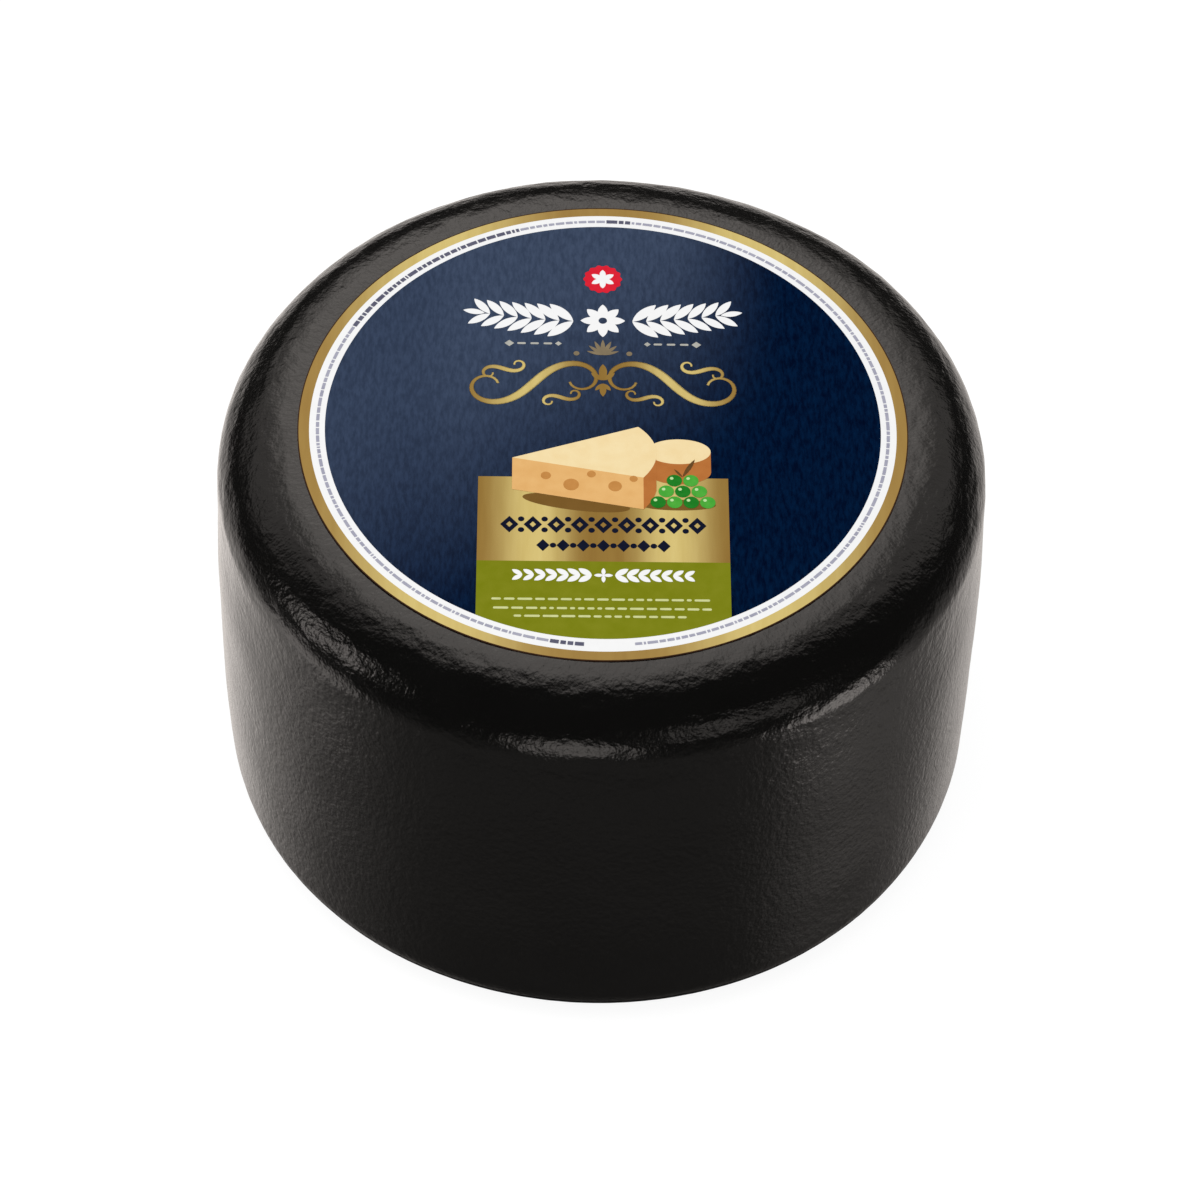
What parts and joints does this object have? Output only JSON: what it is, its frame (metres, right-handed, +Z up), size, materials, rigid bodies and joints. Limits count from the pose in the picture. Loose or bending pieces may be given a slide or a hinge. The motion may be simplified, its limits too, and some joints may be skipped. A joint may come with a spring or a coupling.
{
  "type": "cheese wheel",
  "caption": "Tall round wheel of hard cheese in a black coat, with a wide soft shoulder, a nearly straight wall and a round label on its flat top.",
  "frame": {"origin": "middle of the flat face that the wheel rests on", "axes": "+Z up along the wheel's axis, -Y towards the foot of the label, +X to the label's right"},
  "size_m": [0.2352, 0.2346, 0.1453],
  "materials": {
    "coat": "thin black food coat with fine soft wrinkles and a low sheen",
    "label": "printed satin label: dark blue field, white and gold rings, gold and green panel"
  },
  "bodies": {
    "root": {"cheese_wheel": "coat", "label": "label"}
  },
  "joints": []
}
